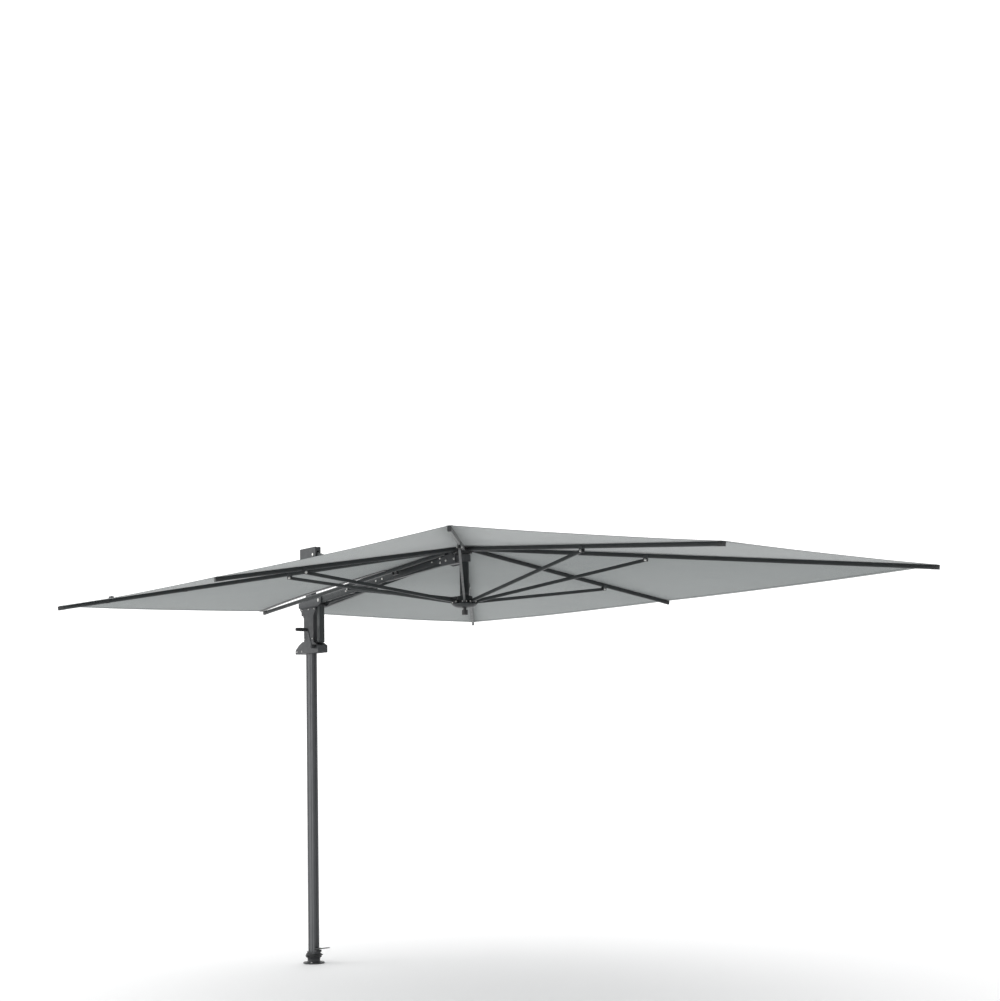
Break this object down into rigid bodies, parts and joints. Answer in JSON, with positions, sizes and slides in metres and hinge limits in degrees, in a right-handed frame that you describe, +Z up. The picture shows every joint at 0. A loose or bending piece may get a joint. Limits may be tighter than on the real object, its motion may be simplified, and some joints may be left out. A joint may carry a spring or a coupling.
{
  "type": "cantilever parasol",
  "caption": "Cantilever parasol: rotating side mast, sliding carriage with crank, lifting arm with stay, and a folding rectangular canopy on hinged ribs and struts.",
  "frame": {"origin": "centre of the mast's flange on its underside", "axes": "+Z up along the mast, +X from the mast towards the canopy's hub, along the canopy's long side, +Y across"},
  "size_m": [4.0068, 3.01, 2.562],
  "materials": {
    "anthracite_paint": "satin",
    "mast_paint": "satin",
    "black_plastic": "matte",
    "stainless_steel": "satin",
    "canopy_fabric": "matte"
  },
  "bodies": {
    "base": {"base_flange": "anthracite_paint", "base_spigot": "stainless_steel", "lower_collar": "anthracite_paint", "clamp_ring": "black_plastic"},
    "mast": {"mast_tube": "mast_paint", "foot_socket": "anthracite_paint", "pedal_bracket": "black_plastic", "mast_head": "anthracite_paint", "stay_pin": "stainless_steel"},
    "pedal": {"foot_pedal": "black_plastic"},
    "carriage": {"glide_liner": "black_plastic", "carriage_base": "anthracite_paint", "carriage_housing": "anthracite_paint", "front_column": "anthracite_paint", "arm_yoke": "anthracite_paint"},
    "crank": {"cord_drum": "black_plastic", "crank_arm": "anthracite_paint"},
    "crank_grip": {"crank_knob": "black_plastic"},
    "stay": {"stay_bar": "anthracite_paint"},
    "arm": {"arm_rail_left": "anthracite_paint", "arm_rail_right": "anthracite_paint", "arm_root_spacer": "stainless_steel", "arm_tip_spacer": "stainless_steel", "arm_cross_box": "anthracite_paint"},
    "link": {"levelling_link": "anthracite_paint"},
    "hub": {"hub_cheek_left": "anthracite_paint", "hub_cheek_right": "anthracite_paint", "hub_block": "anthracite_paint", "hub_tube": "anthracite_paint", "top_hub": "black_plastic", "top_cap": "black_plastic", "canopy": "canopy_fabric"},
    "runner": {"lower_hub": "black_plastic", "strut_block": "anthracite_paint", "pull_knob": "black_plastic"},
    "front_rib": {"rib_front": "anthracite_paint"},
    "front_strut": {"strut_front": "anthracite_paint"},
    "front_left_rib": {"rib_front_left": "anthracite_paint"},
    "front_left_strut": {"strut_front_left": "anthracite_paint"},
    "left_rib": {"rib_left": "anthracite_paint"},
    "left_strut": {"strut_left": "anthracite_paint"},
    "rear_left_rib": {"rib_rear_left": "anthracite_paint"},
    "rear_left_strut": {"strut_rear_left": "anthracite_paint"},
    "rear_right_rib": {"rib_rear_right": "anthracite_paint"},
    "rear_right_strut": {"strut_rear_right": "anthracite_paint"},
    "right_rib": {"rib_right": "anthracite_paint"},
    "right_strut": {"strut_right": "anthracite_paint"},
    "front_right_rib": {"rib_front_right": "anthracite_paint"},
    "front_right_strut": {"strut_front_right": "anthracite_paint"},
    "mast_left_rib": {"rib_mast_left": "anthracite_paint"},
    "mast_left_strut": {"strut_mast_left": "anthracite_paint"},
    "mast_right_rib": {"rib_mast_right": "anthracite_paint"},
    "mast_right_strut": {"strut_mast_right": "anthracite_paint"}
  },
  "joints": [
    {"name": "mast_rotation", "type": "hinge", "parent": "base", "child": "mast", "pos_m": [0, 0, 0], "axis": [0, 0, 1], "continuous": true},
    {"name": "pedal_press", "type": "hinge", "parent": "mast", "child": "pedal", "pos_m": [0.045, 0, 0.0925], "axis": [0, 1, 0], "range_deg": [0, 8], "stiffness_Nm_per_rad": 2, "springref_deg": -11.46},
    {"name": "carriage_slide", "type": "slide", "parent": "mast", "child": "carriage", "axis": [0, 0, 1], "range_m": [-1, 0]},
    {"name": "crank_turn", "type": "hinge", "parent": "carriage", "child": "crank", "pos_m": [0.1, 0, 1.938], "axis": [0, -1, 0], "range_deg": [0, 2881]},
    {"name": "crank_knob_spin", "type": "hinge", "parent": "crank", "child": "crank_grip", "pos_m": [0.05729, -0.1, 2.0437], "axis": [0, 1, 0], "continuous": true},
    {"name": "stay_pivot", "type": "hinge", "parent": "mast", "child": "stay", "pos_m": [0.062, 0, 2.515], "axis": [0, 1, 0], "range_deg": [0, 45.8]},
    {"name": "arm_pivot", "type": "hinge", "parent": "carriage", "child": "arm", "pos_m": [0.148, 0, 2.222], "axis": [0, -1, 0], "range_deg": [0, 61.5]},
    {"name": "link_slide", "type": "slide", "parent": "arm", "child": "link", "axis": [-0.9961, 0, -0.0888], "range_m": [0, 0.0195]},
    {"name": "hub_levelling", "type": "hinge", "parent": "arm", "child": "hub", "pos_m": [1.472, 0, 2.34], "axis": [0, 1, 0], "range_deg": [0, 61.5]},
    {"name": "canopy_fold", "type": "hinge", "parent": "hub", "child": "front_rib", "pos_m": [1.711, 0, 2.374], "axis": [0, 1, 0], "range_deg": [0, 71.18], "deforming": ["canopy"]},
    {"name": "front_strut_fold", "type": "hinge", "parent": "front_rib", "child": "front_strut", "pos_m": [2.65445, 0, 2.26047], "axis": [0, -1, 0], "range_deg": [0, 139.49]},
    {"name": "front_left_rib_fold", "type": "hinge", "parent": "hub", "child": "front_left_rib", "pos_m": [1.699, 0.036, 2.374], "axis": [-0.6, 0.8, 0], "range_deg": [0, 71.4]},
    {"name": "front_left_strut_fold", "type": "hinge", "parent": "front_left_rib", "child": "front_left_strut", "pos_m": [2.45442, 0.60256, 2.26755], "axis": [0.6, -0.8, 0], "range_deg": [0, 138.9]},
    {"name": "left_rib_fold", "type": "hinge", "parent": "hub", "child": "left_rib", "pos_m": [1.651, 0.06, 2.374], "axis": [-1, 0, 0], "range_deg": [0, 70.71]},
    {"name": "left_strut_fold", "type": "hinge", "parent": "left_rib", "child": "left_strut", "pos_m": [1.651, 0.99429, 2.20054], "axis": [1, 0, 0], "range_deg": [0, 145.32]},
    {"name": "rear_left_rib_fold", "type": "hinge", "parent": "hub", "child": "rear_left_rib", "pos_m": [1.583, 0.051, 2.374], "axis": [-0.6, -0.8, 0], "range_deg": [0, 68.91]},
    {"name": "rear_left_strut_fold", "type": "hinge", "parent": "rear_left_rib", "child": "rear_left_strut", "pos_m": [0.82766, 0.6175, 2.26668], "axis": [0.6, 0.8, 0], "range_deg": [0, 133.18]},
    {"name": "rear_right_rib_fold", "type": "hinge", "parent": "hub", "child": "rear_right_rib", "pos_m": [1.583, -0.051, 2.374], "axis": [0.6, -0.8, 0], "range_deg": [0, 68.91]},
    {"name": "rear_right_strut_fold", "type": "hinge", "parent": "rear_right_rib", "child": "rear_right_strut", "pos_m": [0.82766, -0.6175, 2.26668], "axis": [-0.6, 0.8, 0], "range_deg": [0, 133.18]},
    {"name": "right_rib_fold", "type": "hinge", "parent": "hub", "child": "right_rib", "pos_m": [1.651, -0.06, 2.374], "axis": [1, 0, 0], "range_deg": [0, 70.71]},
    {"name": "right_strut_fold", "type": "hinge", "parent": "right_rib", "child": "right_strut", "pos_m": [1.651, -0.99429, 2.20054], "axis": [-1, 0, 0], "range_deg": [0, 145.32]},
    {"name": "front_right_rib_fold", "type": "hinge", "parent": "hub", "child": "front_right_rib", "pos_m": [1.699, -0.036, 2.374], "axis": [0.6, 0.8, 0], "range_deg": [0, 71.4]},
    {"name": "front_right_strut_fold", "type": "hinge", "parent": "front_right_rib", "child": "front_right_strut", "pos_m": [2.45442, -0.60256, 2.26755], "axis": [-0.6, -0.8, 0], "range_deg": [0, 138.9]},
    {"name": "mast_left_rib_fold", "type": "hinge", "parent": "hub", "child": "mast_left_rib", "pos_m": [1.541, 0.05, 2.364], "axis": [-0.0476, -0.9989, 0], "range_deg": [0, 66.12]},
    {"name": "mast_left_strut_fold", "type": "hinge", "parent": "mast_left_rib", "child": "mast_left_strut", "pos_m": [0.59896, 0.09486, 2.24769], "axis": [0.0476, 0.9989, 0], "range_deg": [0, 130.37]},
    {"name": "mast_right_rib_fold", "type": "hinge", "parent": "hub", "child": "mast_right_rib", "pos_m": [1.541, -0.05, 2.364], "axis": [0.0476, -0.9989, 0], "range_deg": [0, 66.12]},
    {"name": "mast_right_strut_fold", "type": "hinge", "parent": "mast_right_rib", "child": "mast_right_strut", "pos_m": [0.59896, -0.09486, 2.24769], "axis": [-0.0476, 0.9989, 0], "range_deg": [0, 130.37]},
    {"name": "runner_slide", "type": "slide", "parent": "hub", "child": "runner", "axis": [0, 0, -1], "range_m": [0, 1.5805]}
  ],
  "couplings": [
    {"joint": "arm_pivot", "follows": "carriage_slide", "rad_per_m": -1.0724},
    {"joint": "hub_levelling", "follows": "carriage_slide", "rad_per_m": -1.0724},
    {"joint": "stay_pivot", "follows": "carriage_slide", "rad_per_m": -0.7984},
    {"joint": "link_slide", "follows": "carriage_slide", "ratio": -0.019},
    {"joint": "front_strut_fold", "follows": "canopy_fold", "ratio": 1.9567},
    {"joint": "front_left_rib_fold", "follows": "canopy_fold", "ratio": 1.0016},
    {"joint": "front_left_strut_fold", "follows": "canopy_fold", "ratio": 1.9485},
    {"joint": "left_rib_fold", "follows": "canopy_fold", "ratio": 0.99193},
    {"joint": "left_strut_fold", "follows": "canopy_fold", "ratio": 2.0387},
    {"joint": "rear_left_rib_fold", "follows": "canopy_fold", "ratio": 0.96672},
    {"joint": "rear_left_strut_fold", "follows": "canopy_fold", "ratio": 1.8681},
    {"joint": "rear_right_rib_fold", "follows": "canopy_fold", "ratio": 0.96672},
    {"joint": "rear_right_strut_fold", "follows": "canopy_fold", "ratio": 1.8681},
    {"joint": "right_rib_fold", "follows": "canopy_fold", "ratio": 0.99193},
    {"joint": "right_strut_fold", "follows": "canopy_fold", "ratio": 2.0387},
    {"joint": "front_right_rib_fold", "follows": "canopy_fold", "ratio": 1.0016},
    {"joint": "front_right_strut_fold", "follows": "canopy_fold", "ratio": 1.9485},
    {"joint": "mast_left_rib_fold", "follows": "canopy_fold", "ratio": 0.92741},
    {"joint": "mast_left_strut_fold", "follows": "canopy_fold", "ratio": 1.8287},
    {"joint": "mast_right_rib_fold", "follows": "canopy_fold", "ratio": 0.92741},
    {"joint": "mast_right_strut_fold", "follows": "canopy_fold", "ratio": 1.8287},
    {"joint": "runner_slide", "follows": "canopy_fold", "m_per_rad": 1.2717},
    {"joint": "crank_turn", "follows": "canopy_fold", "ratio": 40.459}
  ]
}
